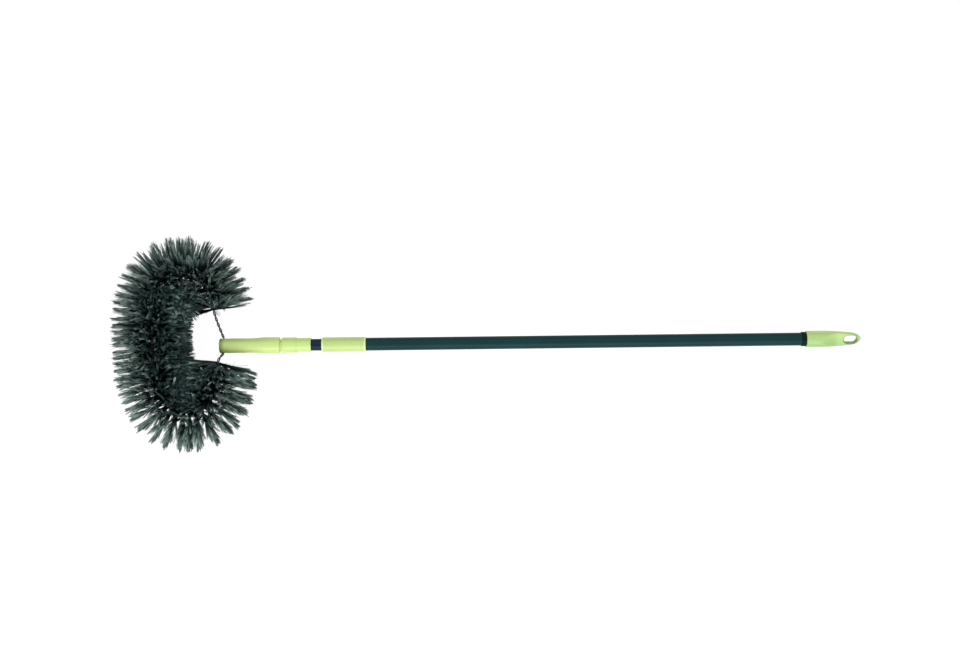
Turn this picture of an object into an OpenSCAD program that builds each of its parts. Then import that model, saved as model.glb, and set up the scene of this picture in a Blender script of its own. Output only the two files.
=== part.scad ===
// Cobweb brush: a loop of twisted wire full of bristles, on a telescopic pole with an inner twist lock.
// The pole lies along X with its hanging eye at the origin, the head lies in the XY plane, and Z is up.

/* [Outer tube] */
// Outside diameter of the outer tube
outer_d = 22; // [20:0.5:24]
// Length of the outer tube
outer_l = 820; // [500:10:1100]
// Wall of the two steel tubes
tube_wall = 0.5; // [0.4:0.1:0.8]

/* [Inner tube] */
// Radial gap between the tubes, in which the lock's cam shifts
slide_gap = 0.5; // [0.4:0.05:0.7]
// Stretch of inner tube that shows when the pole is closed
tube_show = 18; // [6:1:60]
// Length of the inner tube that sits in the thread adaptor
adaptor_seat = 24; // [15:1:35]
// Free space between the lock and the end cap when the pole is closed
end_space = 22; // [5:1:80]

/* [Mouth collar] */
// Outside diameter of the collar on the outer tube's mouth
collar_d = 25; // [24:0.5:30]
// Length of the collar
collar_l = 75; // [40:1:110]
// Thickness of the collar's lip over the tube's mouth
collar_lip = 2.5; // [1.5:0.5:5]

/* [End ring] */
// Outside diameter of the trim ring at the outer tube's far end
ring_d = 24.6; // [24:0.2:28]
// Width of the trim ring
ring_w = 8; // [4:0.5:14]

/* [End cap] */
// Outside diameter of the hanging cap
cap_d = 28; // [26:0.5:32]
// Visible length of the cap, without its spigot
cap_l = 93; // [80:1:120]
// Length of the cap's cylindrical stretch
cap_straight = 28; // [15:1:35]
// Diameter of the cap over the eye, where its nose begins
cap_waist_d = 22.4; // [18:0.2:25]
// Length of the rounded nose
cap_nose = 20; // [14:1:26]
// Thickness of the flattened tab round the eye
tab_t = 10.5; // [9:0.5:16]
// Turn of the tab about the pole, away from the plane of the head
tab_roll = 22; // [0:1:60]
// Distance from the middle of the eye to the tip of the cap
eye_to_tip = 18; // [16:0.5:26]
// Length of the eye along the pole
eye_l = 22; // [14:0.5:24]
// Width of the eye
eye_w = 13.5; // [9:0.5:14]
// Depth of the bevel round both mouths of the eye
eye_bevel = 2; // [0.5:0.1:3]
// Length over which the round cap flattens to the tab
tab_ramp = 34; // [20:1:40]
// Length of the cap's spigot inside the tube
spigot_l = 30; // [15:1:45]

/* [Twist lock] */
// Turn of the inner tube that wedges the lock
lock_turn = 45; // [30:5:60]
// Diameter of the eccentric journal
journal_d = 13; // [11:0.5:14]
// Length of the split locking ring
lock_l = 18; // [12:1:30]
// Width of the locking ring's slit
lock_slit = 2.5; // [1:0.5:4]
// Length of the lock plug's shank inside the inner tube
shank_l = 28; // [15:1:45]
// Thickness of the lock plug's two flanges
flange_t = 3; // [2:0.5:5]

/* [Thread adaptor] */
// Visible length of the adaptor
adaptor_l = 53; // [40:1:80]
// Outside diameter of the adaptor's sleeve
adaptor_d = 24; // [23:0.5:27]
// Outside diameter of its foot beside the brush socket
foot_d = 26.2; // [25:0.2:29]
// Length of the foot
foot_l = 6; // [3:0.5:12]
// Outside diameter of the coarse thread
thread_d = 19.6; // [17:0.2:21]
// Length of the threaded end
thread_l = 32; // [20:1:40]

/* [Brush socket] */
// Length of the socket
socket_l = 102; // [90:1:140]
// Diameter of the socket at its open end
socket_d = 27.8; // [26:0.2:32]
// Diameter of the slim stretch that holds the wires
neck_d = 24.8; // [22:0.2:27]
// Length of the wide stretch at the open end
wide_l = 23; // [15:1:35]
// Length of the curve from the wide stretch to the neck
flare_l = 26; // [15:1:40]
// Distance of the two wire exits from the nose of the socket
exit_back = 17; // [15:0.5:22]

/* [Wire loop] */
// Half width of the loop, along the pole
loop_a = 55.4; // [45:0.2:70]
// Half height of the loop, across the pole
loop_b = 116; // [100:0.2:140]
// Squareness of the loop: 2 is an ellipse, and more fills its corners
loop_square = 2.6; // [2:0.1:3.4]
// Lean of the loop: shift along the pole for each millimetre across it
loop_lean = -0.04; // [-0.1:0.002:0.1]
// Distance from the nose of the socket to the middle of the loop
loop_back = 59.8; // [50:0.2:80]
// Offset of the loop's middle across the pole
loop_shift = 3.8; // [-15:0.1:15]
// Diameter of each of the two wires
wire_d = 2.2; // [1.6:0.1:2.6]
// Length of the wires' lay, in which they turn once round each other
wire_lay = 20; // [16:0.5:30]
// Distance of each stem from the pole's axis inside the socket
stem_y = 3.8; // [3.4:0.1:4.6]
// Radius of the bend from a stem to its arm
stem_bend = 10; // [8:0.5:14]

/* [Bristles] */
// Length of the bristles outside the wires' axis
bristle_l = 69.7; // [50:0.5:80]
// Thickness of the bristle layer that the wires squeeze
layer_t = 1.2; // [1:0.1:1.6]
// Radius round each strand
strand_r = 1; // [0.6:0.05:1.1]
// Number of strands that pass between the wires, each with two ends
strand_pairs = 232; // [152:8:248]
// Depth to which the lowest tips are cut level
level_cut = 0.5; // [0.3:0.1:2]

/* [Hidden] */

// Clearances
push_gap = 0.05;
run_gap = 0.05;
face_gap = 0.1;
thread_gap = 0.1;
wire_gap = 0.4;
slot_room = 0.15;
crimp_gap = 0.15;
lock_margin = 0.04;
round_fn = 96;
edge = 0.8;

// Pole stations along X
cap_tip_x = eye_to_tip;
cap_x = cap_tip_x - cap_l;
mouth_x = cap_x - outer_l;
lip_x = mouth_x - collar_lip;
adaptor_end_x = lip_x - tube_show;
seam_x = adaptor_end_x - adaptor_l;
thread_tip_x = seam_x - thread_l;
inner_x = adaptor_end_x - adaptor_seat;
nose_x = seam_x - face_gap - socket_l;

// Tubes
outer_bore = outer_d - 2 * tube_wall;
inner_d = outer_bore - 2 * slide_gap;
inner_bore = inner_d - 2 * tube_wall;

// Twist lock stations: the inner tube reaches the lock plug's flange, and the lock ends short of the cap
lock_end_x = cap_x - spigot_l - end_space;
far_flange_x = lock_end_x - flange_t;
lock_x = far_flange_x - lock_l - 2 * face_gap;
near_flange_x = lock_x - flange_t;
cam_shift = (slide_gap - lock_margin) / (2 * sin(lock_turn / 2));
rib_count = 6;
rib_w = 2;
rib_inset = 3;
rib_lift = 0.5;
crush_gap = 0.08;
spigot_wall = 2;
groove_w = 1.2;
groove_depth = 0.7;

// Wire loop
loop_x = nose_x - loop_back;
wire_r = wire_d / 2;
bare_gap = 0.36;
bare_up = 23.6;
bare_down = 10.7;
exit_up = 68;
exit_down = 60;
arm_pull = 0.9;
gap_ramp = 8;
bend_x = nose_x + exit_back;
stem_l = 40;
stem_end_x = bend_x + stem_l;
crimp_l = 12;
crimp_wall = 1;
crimp_inset = 2;
crimp_x = stem_end_x - crimp_l - crimp_inset;
channel_r = (bare_gap + wire_d * 2) / 2 + wire_gap;
wire_sides = 6;
wire_steps = 8;
section_count = 8;
spine_r = 0.36;
spine_step = 4;
section_gap = 0.3;
seed = 12;
strand_lean = 0.05;
strand_scatter = 3;
strand_taper = 0.85;
root_swell = 6;
length_mean = 0.965;
length_vary = 0.03;
inner_share = 0.76;
window_margin = 16;

function unit(v) = v / norm(v);
function smooth(u) = u <= 0 ? 0 : u >= 1 ? 1 : u * u * (3 - 2 * u);
function flat_cross(a) = [a[1], -a[0], 0];

// Children drawn along Z are laid along X, starting at x
module along_x(x) translate([x, 0, 0]) rotate([0, 90, 0]) children();

// A solid turned round the X axis from an outline of [x, radius] points
module turned(outline)
    rotate([0, 90, 0])
        rotate_extrude($fn = round_fn)
            polygon([for (p = outline) [p[1], p[0]]]);

module rod(x0, x1, d) along_x(x0) cylinder(d = d, h = x1 - x0, $fn = round_fn);

module pipe(x0, x1, d, bore) difference() {
    rod(x0, x1, d);
    rod(x0 - 1, x1 + 1, bore);
}

module outer_tube() color("#274244") pipe(mouth_x, cap_x, outer_d, outer_bore);

module inner_tube() color("#152733") pipe(inner_x, near_flange_x, inner_d, inner_bore);

// Sleeve over the outer tube's mouth, with a lip whose bore guides the inner tube
module mouth_collar() color("#cfe698") difference() {
    turned([[lip_x, 0], [lip_x, collar_d / 2 - edge], [lip_x + edge, collar_d / 2],
            [lip_x + collar_l - edge, collar_d / 2], [lip_x + collar_l, collar_d / 2 - edge],
            [lip_x + collar_l, 0]]);
    rod(lip_x - 1, mouth_x + 1, outer_bore);
    rod(mouth_x, lip_x + collar_l + 1, outer_d + 2 * push_gap);
}

// Trim ring pressed on the outer tube's far end, its outer edge rounded towards the cap
module tube_end_ring() color("#10191c") difference() {
    ring_x = cap_x - ring_w;
    lift = (ring_d - outer_d) / 2;
    turned([[ring_x, 0], [ring_x, ring_d / 2 - lift / 2], [ring_x + lift / 2, ring_d / 2],
            for (a = [0:15:90]) [cap_x - lift + lift * sin(a), ring_d / 2 - lift + lift * cos(a)],
            [cap_x, 0]]);
    rod(ring_x - 1, cap_x + 1, outer_d + 2 * push_gap);
}

// Radius of the cap at x: a cylinder, a slow taper to the eye, and a rounded nose
function cap_r(x) =
    let(taper_x = cap_x + cap_straight, nose_start = cap_tip_x - cap_nose)
    let(u = (x - taper_x) / (nose_start - taper_x), w = (x - nose_start) / cap_nose)
    (cap_d - (cap_d - cap_waist_d) * pow(max(0, min(1, u)), 1.5)) / 2 * (w <= 0 ? 1 : sqrt(1 - pow(w, 1.7)));

// Half thickness of the cap seen from its edge: full round, then a smooth step down to the flat tab
function tab_half(x) =
    let(u = smooth((x - cap_x - cap_straight * 0.7) / tab_ramp))
    let(w = (x - cap_tip_x + cap_nose / 2) / (cap_nose / 2))
    (cap_d / 2 + 1) * (1 - u) + tab_t / 2 * u * (w <= 0 ? 1 : 1 - 0.35 * w * w);

// Ribs along a spigot that reach almost to the bore they sit in
module crush_ribs(x0, x1, bore)
    for (i = [0:rib_count - 1]) rotate([i * 360 / rib_count, 0, 0])
        translate([x0, -rib_w / 2, 0]) cube([x1 - x0, rib_w, bore / 2 - crush_gap]);

module eye_cut() {
    reach = cap_d;
    half = (eye_l - eye_w) / 2;
    bevel_r = eye_w / 2 + eye_bevel;
    for (x = [-half, half]) translate([x, 0, -reach / 2]) cylinder(d = eye_w, h = reach, $fn = round_fn);
    translate([-half, -eye_w / 2, -reach / 2]) cube([2 * half, eye_w, reach]);
    for (side = [0, 1]) mirror([0, 0, side]) translate([0, 0, tab_t / 2 - eye_bevel]) {
        for (x = [-half, half]) translate([x, 0, 0])
            cylinder(r1 = eye_w / 2, r2 = bevel_r + eye_bevel, h = 2 * eye_bevel, $fn = round_fn);
        translate([-half, 0, 0]) rotate([90, 0, 90]) linear_extrude(2 * half)
            polygon([[-eye_w / 2, 0], [eye_w / 2, 0], [bevel_r + eye_bevel, 2 * eye_bevel],
                     [-bevel_r - eye_bevel, 2 * eye_bevel]]);
    }
}

// Hanging cap: a hollow spigot with crush ribs enters the tube, and a flattened tab carries the eye
module end_cap() color("#b3d490") difference() {
    taper_x = cap_x + cap_straight;
    nose_start = cap_tip_x - cap_nose;
    spigot_r = outer_bore / 2 - rib_lift;
    union() {
        intersection() {
            turned([[cap_x, 0], [cap_x, cap_d / 2 - edge], [cap_x + edge, cap_d / 2],
                    for (i = [0:1:10]) let(x = taper_x + (nose_start - taper_x) * i / 10) [x, cap_r(x)],
                    for (a = [10:10:90]) let(x = cap_tip_x - cap_nose * (1 - sin(a))) [x, cap_r(x)]]);
            rotate([tab_roll + 90, 0, 0]) linear_extrude(cap_d + 2, center = true) polygon(concat(
                [for (i = [0:1:28]) let(x = cap_x - 1 + (cap_l + 2) * i / 28) [x, tab_half(x)]],
                [for (i = [28:-1:0]) let(x = cap_x - 1 + (cap_l + 2) * i / 28) [x, -tab_half(x)]]));
        }
        rod(cap_x - spigot_l, cap_x + cap_straight / 2, 2 * spigot_r);
        crush_ribs(cap_x - spigot_l + rib_inset, cap_x + edge, outer_bore);
    }
    rod(cap_x - spigot_l - 1, cap_x + cap_straight * 0.8, 2 * (spigot_r - spigot_wall));
    rotate([tab_roll, 0, 0]) eye_cut();
}

// Lock plug: a ribbed shank in the inner tube, a flange, the eccentric journal and an end flange
module lock_plug() color("#e4e2d6") {
    shank_r = inner_bore / 2 - rib_lift;
    turned([[near_flange_x - shank_l, 0], [near_flange_x - shank_l, shank_r], [near_flange_x, shank_r],
            [near_flange_x, inner_d / 2], [lock_x, inner_d / 2], [lock_x, 0]]);
    crush_ribs(near_flange_x - shank_l + rib_inset, near_flange_x + flange_t / 2, inner_bore);
    translate([0, 0, cam_shift]) rod(lock_x - flange_t / 2, far_flange_x + flange_t / 2, journal_d);
    turned([[far_flange_x, 0], [far_flange_x, inner_d / 2], [lock_end_x - edge, inner_d / 2],
            [lock_end_x, inner_d / 2 - edge], [lock_end_x, 0]]);
}

// Split ring on the journal: its bore is off-centre by the cam's shift, so it wedges as the plug turns
module lock_ring() color("#3a3f42") difference() {
    ring_r = outer_bore / 2 - run_gap;
    x0 = lock_x + face_gap;
    turned([[x0, 0], [x0, ring_r - edge], [x0 + edge, ring_r], [x0 + lock_l - edge, ring_r],
            [x0 + lock_l, ring_r - edge], [x0 + lock_l, 0]]);
    translate([0, 0, cam_shift]) rod(x0 - 1, x0 + lock_l + 1, journal_d + 2 * run_gap);
    translate([x0 - 1, -lock_slit / 2, 0]) cube([lock_l + 2, lock_slit, outer_bore]);
    for (a = [60:30:300]) rotate([a, 0, 0])
        translate([x0 - 1, -groove_w / 2, ring_r - groove_depth])
            cube([lock_l + 2, groove_w, 2 * groove_depth]);
}

// Adaptor: a sleeve on the inner tube's end, a foot, and a hollow coarse thread for the brush
module thread_adaptor() color("#cfe698") difference() {
    turned([[thread_tip_x, 0], [thread_tip_x, thread_d / 2 - 1.5], [thread_tip_x + 1.5, thread_d / 2],
            [seam_x, thread_d / 2], [seam_x, foot_d / 2 - edge], [seam_x + edge, foot_d / 2],
            [seam_x + foot_l * 0.6, foot_d / 2], [seam_x + foot_l, adaptor_d / 2],
            [adaptor_end_x - edge, adaptor_d / 2], [adaptor_end_x, adaptor_d / 2 - edge],
            [adaptor_end_x, 0]]);
    rod(inner_x, adaptor_end_x + 1, inner_d + 2 * push_gap);
    rod(thread_tip_x + 4, inner_x + 1, inner_bore - 5);
}

// The two channels that hold the wires: a bore for each stem, and a moulded slot round its bend and exit
module wire_channels() for (side = [1, -1]) mirror([0, side > 0 ? 0 : 1, 0]) {
    turn = side > 0 ? exit_up : exit_down;
    half = channel_r + slot_room;
    centre = [bend_x, stem_y + stem_bend];
    way_out = neck_d * 0.6 * [-cos(turn), sin(turn)];
    rim = function (r, a) centre + r * [-sin(a), -cos(a)];
    translate([0, stem_y, 0]) rod(bend_x, stem_end_x, 2 * channel_r);
    linear_extrude(2 * half, center = true) polygon(concat(
        [[bend_x + 1, stem_y - half]],
        [for (i = [0:6]) rim(stem_bend + half, turn * i / 6)],
        [rim(stem_bend + half, turn) + way_out, rim(stem_bend - half, turn) + way_out],
        [for (i = [6:-1:0]) rim(stem_bend - half, turn * i / 6)],
        [[bend_x + 1, stem_y + half]]));
}

// Room for the crimp and the wires' ends behind the thread
module crimp_room() {
    half_h = channel_r + crimp_gap + crimp_wall;
    translate([crimp_x - 0.5, -stem_y - half_h, -half_h])
        cube([stem_end_x + 2.5 - crimp_x, 2 * (stem_y + half_h), 2 * half_h]);
}

// Ferrule that holds the wire loop and screws on the pole
module brush_socket() color("#c6df8f") difference() {
    flare_x = seam_x - face_gap - wide_l;
    open_x = seam_x - face_gap;
    turned([[nose_x, 0], [nose_x, neck_d / 2 - edge], [nose_x + edge, neck_d / 2],
            for (i = [0:1:12]) let(u = i / 12) [flare_x - flare_l * (1 - u),
                neck_d / 2 + (socket_d - neck_d) / 2 * smooth(u)],
            [open_x - 2 * edge, socket_d / 2], [open_x, socket_d / 2 - 2 * edge], [open_x, 0]]);
    rod(thread_tip_x - 2, open_x + 1, thread_d + 2 * thread_gap);
    wire_channels();
    crimp_room();
}

// Flattened steel band squeezed round the two stems
module wire_crimp() color("#8c9296") difference() {
    inner_r = channel_r - wire_gap + crimp_gap;
    band_r = inner_r + crimp_wall;
    union() {
        for (y = [-stem_y, stem_y]) translate([0, y, 0]) rod(crimp_x, crimp_x + crimp_l, 2 * band_r);
        translate([crimp_x, -stem_y, -band_r]) cube([crimp_l, 2 * stem_y, 2 * band_r]);
    }
    for (y = [-stem_y, stem_y]) translate([0, y, 0]) rod(crimp_x - 1, crimp_x + crimp_l + 1, 2 * inner_r);
}

// Point of the loop in direction t, a rounded oblong that leans a little
function loop_at(t) =
    let(y = loop_b * sign(sin(t)) * pow(abs(sin(t)), 2 / loop_square))
    [loop_x + loop_a * sign(cos(t)) * pow(abs(cos(t)), 2 / loop_square) + loop_lean * y, loop_shift + y, 0];

// Route of the wires' common axis: a stem, its bend, an arm, the open loop, and back the same way
function arm_points(turn, start, beyond) =
    let(bend_end = [bend_x - stem_bend * sin(turn), stem_y + stem_bend * (1 - cos(turn)), 0])
    let(reach = norm(start - bend_end) * arm_pull)
    let(leave = reach * [-cos(turn), sin(turn), 0], arrive = reach * unit(beyond - start))
    concat([[stem_end_x, stem_y, 0]],
           [for (i = [0:8]) let(a = turn * i / 8)
               [bend_x - stem_bend * sin(a), stem_y + stem_bend * (1 - cos(a)), 0]],
           [for (i = [1:15]) let(u = i / 16)
               bend_end * (2 * u * u * u - 3 * u * u + 1) + leave * (u * u * u - 2 * u * u + u)
               + start * (3 * u * u - 2 * u * u * u) + arrive * (u * u * u - u * u)]);
function flipped(p) = [p[0], -p[1], p[2]];
loop_fine = 160;
upper_arm = arm_points(exit_up, loop_at(bare_up), loop_at(bare_up + 1));
lower_arm = arm_points(exit_down, flipped(loop_at(-bare_down)), flipped(loop_at(-bare_down - 1)));
loop_points = [for (i = [0:loop_fine]) loop_at(bare_up + (360 - bare_up - bare_down) * i / loop_fine)];
route = concat(upper_arm, loop_points,
               [for (i = [len(lower_arm) - 1:-1:0]) flipped(lower_arm[i])]);
route_steps = [for (i = [1:len(route) - 1]) norm(route[i] - route[i - 1])];
route_s = [for (i = 0, s = 0; i <= len(route_steps); s = s + (i < len(route_steps) ? route_steps[i] : 0),
                i = i + 1) s];
route_l = route_s[len(route) - 1];
bristle_from = route_s[len(upper_arm)];
bristle_to = route_s[len(upper_arm) + loop_fine];
x_table = [for (i = [0:len(route) - 1]) [route_s[i], route[i][0]]];
y_table = [for (i = [0:len(route) - 1]) [route_s[i], route[i][1]]];

function core_at(s) = [lookup(s, x_table), lookup(s, y_table), 0];
function core_dir(s) = unit(core_at(min(s + 1, route_l)) - core_at(max(s - 1, 0)));
function core_out(s) = flat_cross(core_dir(s));

// The wires open up round the bristle layer and close where the core is bare
function wires_apart(s) = lookup(s, [[bristle_from - gap_ramp, bare_gap], [bristle_from, layer_t],
                                     [bristle_to, layer_t], [bristle_to + gap_ramp, bare_gap]]) / 2 + wire_r;
function wire_at(s, phase) =
    let(a = 360 * s / wire_lay + phase)
    core_at(s) + wires_apart(s) * (cos(a) * core_out(s) + sin(a) * [0, 0, 1]);
function wire_ring(s, phase) =
    let(t = unit(wire_at(min(s + 0.5, route_l), phase) - wire_at(max(s - 0.5, 0), phase)))
    let(u = unit(cross(t, [0, 0, 1])), v = cross(u, t))
    [for (k = [0:wire_sides - 1]) let(a = 360 * k / wire_sides)
        wire_at(s, phase) + wire_r * (cos(a) * u + sin(a) * v)];

// A closed skin through a row of rings with the same number of points
module skin(rings) {
    n = len(rings[0]);
    last = n * (len(rings) - 1);
    walls = [for (i = [0:len(rings) - 2], j = [0:n - 1]) let(a = i * n + j, b = i * n + (j + 1) % n)
        each [[a, b, b + n], [a, b + n, a + n]]];
    ends = [for (j = [1:n - 2]) each [[0, j + 1, j], [last, last + j, last + j + 1]]];
    polyhedron([for (r = rings) each r], concat(walls, ends));
}

module wire_strand(phase) color("#4a5254") {
    count = round(route_l / wire_lay * wire_steps);
    skin([for (i = [0:count]) wire_ring(route_l * i / count, phase)]);
}

// Radius of the largest circle inside the loop that touches the core at p, square to out
function inner_circle(p, out) =
    min([for (q = loop_points) let(d = q - p, depth = -d * out) if (depth > wire_d) d * d / (2 * depth)]);

// Free length towards the inside of the loop at s: a share of that circle's radius, or the full length
// on the far side of the open stretch between the arms
window_low = loop_at(-bare_down)[1] + window_margin;
window_high = loop_at(bare_up)[1] - window_margin;
function inner_room(s) =
    let(p = core_at(s))
    p[0] < loop_x && p[1] > window_low && p[1] < window_high ? bristle_l
    : inner_share * inner_circle(p, core_out(s));

noise = rands(-1, 1, 7 * strand_pairs, seed);
root_r = spine_r * 0.9;

// Section of the thin core of squeezed bristles that joins the strands between the wires
function spine_ring(s) =
    let(c = core_at(s), out = core_out(s))
    [for (a = [45:90:315]) c + spine_r * (cos(a) * out + sin(a) * [0, 0, 1])];

// Reach of a strand's end that leaves the core at an angle to the loop's plane
function strand_reach(s, turn, full) =
    let(inward = -cos(turn)) min(full, inward > 0.05 ? inner_room(s) / inward : full);

// Ends that point into the loop draw together there, so they lean less
function lean_limit(turn) = cos(turn) < -0.05 ? strand_lean / 3 : strand_lean;

// A strand pinched between the wires, with three sides and an end on each side of the core
module strand(s, turn, n) {
    t = core_dir(s);
    d = cos(turn) * core_out(s) + sin(turn) * [0, 0, 1];
    w = cross(d, t);
    ends = [for (side = [0, 1]) let(full = bristle_l * (length_mean + length_vary * noise[n + side]))
        strand_reach(s, turn + 180 * side, full)];
    lean = [for (side = [0, 1]) let(limit = lean_limit(turn + 180 * side))
        limit * (noise[n + 2 + side] * t + noise[n + 4 + side] * w)];
    stations = [[-ends[1], strand_taper], [-root_swell, 1], [0, root_r / strand_r], [root_swell, 1],
                [ends[0], strand_taper]];
    skin([for (k = stations)
        let(side = k[0] < 0 ? 1 : 0, c = core_at(s) + k[0] * d + k[0] * k[0] / bristle_l * lean[side])
        [for (a = [90, 210, 330]) c + strand_r * k[1] * (sin(a) * t + cos(a) * w)]]);
}

module bristles(section) color("#26352f") {
    per_section = strand_pairs / section_count;
    first = floor((section - 1) * per_section);
    beyond = floor(section * per_section);
    pitch = (bristle_to - bristle_from) / strand_pairs;
    s0 = bristle_from + pitch * first + (section > 1 ? section_gap / 2 : 0);
    s1 = bristle_from + pitch * beyond - section_gap / 2;
    spans = ceil((s1 - s0) / spine_step);
    intersection() {
        union() {
            skin([for (j = [0:spans]) spine_ring(s0 + (s1 - s0) * j / spans)]);
            for (i = [first:beyond - 1]) {
                s = bristle_from + pitch * (i + 0.5);
                strand(s, 360 * s / wire_lay + 90 + strand_scatter * noise[7 * i + 6], 7 * i);
            }
        }
        translate([loop_x, 0, 0]) cube([6 * loop_b, 6 * loop_b, 2 * (bristle_l - level_cut)], center = true);
    }
}

outer_tube();
mouth_collar();
tube_end_ring();
end_cap();
inner_tube();
lock_plug();
lock_ring();
thread_adaptor();
brush_socket();
wire_crimp();
wire_strand(0);  // wire_strand_a
wire_strand(180);  // wire_strand_b
for (i = [1:section_count])
    bristles(i);
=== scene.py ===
# %% [markdown]
# # A cobweb brush on a telescopic pole
# The head is a loop of two steel wires twisted round bunches of plastic bristles. A lime plastic socket holds the
# loop and screws on a pole of two coated steel tubes, which a twist lock inside holds at any length. The packed
# model gives the place of every part. Each cell below makes one piece as a surface worked out with numpy, in
# millimetres, and puts it where its plain solid lies, so the joints still carry it.

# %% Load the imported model
import math

import bpy
import numpy as np
from mathutils import Matrix, Vector


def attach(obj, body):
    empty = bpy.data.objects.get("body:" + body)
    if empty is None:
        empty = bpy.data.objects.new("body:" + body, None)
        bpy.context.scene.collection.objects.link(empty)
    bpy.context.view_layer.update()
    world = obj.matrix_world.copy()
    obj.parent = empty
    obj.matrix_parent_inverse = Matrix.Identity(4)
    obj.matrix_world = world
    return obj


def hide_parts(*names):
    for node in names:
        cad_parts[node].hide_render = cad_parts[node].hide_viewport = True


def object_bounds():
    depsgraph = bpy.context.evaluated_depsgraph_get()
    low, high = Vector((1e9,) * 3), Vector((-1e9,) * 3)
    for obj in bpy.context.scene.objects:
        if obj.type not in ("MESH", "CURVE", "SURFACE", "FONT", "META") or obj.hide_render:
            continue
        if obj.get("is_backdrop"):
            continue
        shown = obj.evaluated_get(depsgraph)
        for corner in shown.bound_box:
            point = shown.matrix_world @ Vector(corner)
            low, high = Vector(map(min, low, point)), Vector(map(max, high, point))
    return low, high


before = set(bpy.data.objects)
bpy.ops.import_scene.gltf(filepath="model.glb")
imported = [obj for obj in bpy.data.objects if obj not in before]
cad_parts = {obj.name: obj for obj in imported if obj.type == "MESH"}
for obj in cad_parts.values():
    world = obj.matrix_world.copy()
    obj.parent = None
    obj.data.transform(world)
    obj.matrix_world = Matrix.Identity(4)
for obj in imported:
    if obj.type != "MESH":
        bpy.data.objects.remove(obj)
cad_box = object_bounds()

# %% [markdown]
# ## Sizes
# The stations lie along the pole, which is the X axis, with the middle of the hanging eye at the origin. They are
# the same chain as in the model's source: cap, tubes, adaptor, socket and loop, each measured from the one before.

# %% Sizes in millimetres
MM = 0.001
CAP_TIP, CAP_L, CAP_D, CAP_STRAIGHT, CAP_WAIST_D, CAP_NOSE = 18.0, 93.0, 28.0, 28.0, 22.4, 20.0
TAB_T, TAB_ROLL, EYE_L, EYE_W, EYE_BEVEL = 10.5, math.radians(22), 22.0, 13.5, 2.0
OUTER_D, OUTER_BORE, INNER_D, INNER_BORE = 22.0, 21.0, 20.0, 19.0
COLLAR_D, COLLAR_L, COLLAR_LIP, RING_D, RING_W = 25.0, 75.0, 2.5, 24.6, 8.0
FOOT_D, FOOT_L, ADAPTOR_D, ADAPTOR_L, ADAPTOR_SEAT = 26.2, 6.0, 24.0, 53.0, 24.0
THREAD_D, THREAD_L, THREAD_PITCH = 19.6, 32.0, 5.08
SOCKET_D, SOCKET_L, NECK_D, WIDE_L, FLARE_L = 27.8, 102.0, 24.8, 23.0, 26.0
OUTER_L, TUBE_SHOW, SPIGOT_L, END_SPACE, LOCK_L, FLANGE_T = 820.0, 18.0, 30.0, 22.0, 18.0, 3.0
PUSH_GAP, FACE_GAP, THREAD_GAP, WIRE_GAP, SLOT_ROOM = 0.05, 0.1, 0.1, 0.4, 0.15
CAP_X = CAP_TIP - CAP_L
MOUTH_X = CAP_X - OUTER_L
LIP_X = MOUTH_X - COLLAR_LIP
ADAPTOR_X = LIP_X - TUBE_SHOW
SEAM_X = ADAPTOR_X - ADAPTOR_L
THREAD_X = SEAM_X - THREAD_L
SOCKET_X = SEAM_X - FACE_GAP
NOSE_X = SOCKET_X - SOCKET_L
INNER_X = ADAPTOR_X - ADAPTOR_SEAT
INNER_END_X = CAP_X - SPIGOT_L - END_SPACE - LOCK_L - 2 * (FLANGE_T + FACE_GAP)
print(f"cap {CAP_X:.1f}, mouth {MOUTH_X:.1f}, seam {SEAM_X:.1f}, nose {NOSE_X:.1f} mm")

# %% [markdown]
# ## The camera
# The brush lies flat and the camera looks straight down on it from 2.4 m. The picture is 960 pixels of 1.7 mm wide.
# The pole climbs two thirds of a degree to its right, so the camera is turned by as much about its line of sight.

# %% Camera
CAMERA_AT = Vector((-0.6285, 0.0184, 2.4))
PICTURE_WIDTH, CLIMB, SENSOR = 1.632, 0.673, 36.0
camera_data = bpy.data.cameras.new("camera")
camera_data.sensor_width = SENSOR
camera_data.lens = SENSOR * CAMERA_AT.z / PICTURE_WIDTH
camera = bpy.data.objects.new("camera", camera_data)
camera.location = CAMERA_AT
camera.rotation_euler = (0, 0, math.radians(-CLIMB))
bpy.context.scene.collection.objects.link(camera)
bpy.context.scene.camera = camera
bpy.context.scene.view_settings.view_transform = "Standard"
print(f"lens {camera_data.lens:.1f} mm")

# %% [markdown]
# ## From arrays to meshes
# A surface is an array of rows of points. Each square of four neighbouring points becomes a face, so one array
# operation makes all the faces at once. A surface that closes on itself wraps its last point to its first.

# %% Mesh helpers
def make_mesh(name, points, face_sets, sharp_angle=40.0):
    """Puts points in millimetres and arrays of faces, each array with its own number of corners, into a mesh."""
    mesh = bpy.data.meshes.new(name)
    corners = np.concatenate([f.ravel() for f in face_sets]).astype(np.int32)
    counts = np.concatenate([np.full(len(f), f.shape[1]) for f in face_sets])
    mesh.vertices.add(len(points))
    mesh.vertices.foreach_set("co", (np.asarray(points) * MM).astype(np.float32).ravel())
    mesh.loops.add(len(corners))
    mesh.loops.foreach_set("vertex_index", corners)
    mesh.polygons.add(len(counts))
    mesh.polygons.foreach_set("loop_start", (np.cumsum(counts) - counts).astype(np.int32))
    mesh.polygons.foreach_set("use_smooth", np.ones(len(counts), bool))
    mesh.update(calc_edges=True)
    if sharp_angle:
        mesh.set_sharp_from_angle(angle=math.radians(sharp_angle))
    piece = bpy.data.objects.new(name, mesh)
    bpy.context.scene.collection.objects.link(piece)
    return piece


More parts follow.
